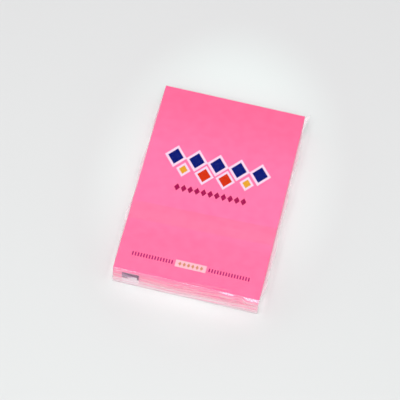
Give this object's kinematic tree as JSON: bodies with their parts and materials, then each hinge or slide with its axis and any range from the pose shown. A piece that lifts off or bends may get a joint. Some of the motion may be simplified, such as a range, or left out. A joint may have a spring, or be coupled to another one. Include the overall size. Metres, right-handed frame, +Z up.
{
  "type": "sticky note pad in film",
  "caption": "Rectangular pad of plain self-stick notes with a printed top sheet and a backing sheet, wrapped in clear film with a lap seam over the top and folded flaps along both long sides.",
  "frame": {"origin": "middle of the bounding box of the wrapped pad, on the face that it rests on", "axes": "+Y along the pad's length towards its far end, +X across its width to the right, +Z up through the stack"},
  "size_m": [0.054, 0.0777, 0.0099],
  "materials": {
    "note_paper": "matt fluorescent pink",
    "cover_paper": "matt fluorescent pink with printed panels",
    "backing_paper": "smooth release paper",
    "label_paper": "smooth white paper with a dark edge band",
    "clear_film": "clear glossy film"
  },
  "bodies": {
    "root": {"note_block": "note_paper", "cover_sheet": "cover_paper", "backing_sheet": "backing_paper", "end_label": "label_paper", "film_wrap": "clear_film"}
  },
  "joints": []
}
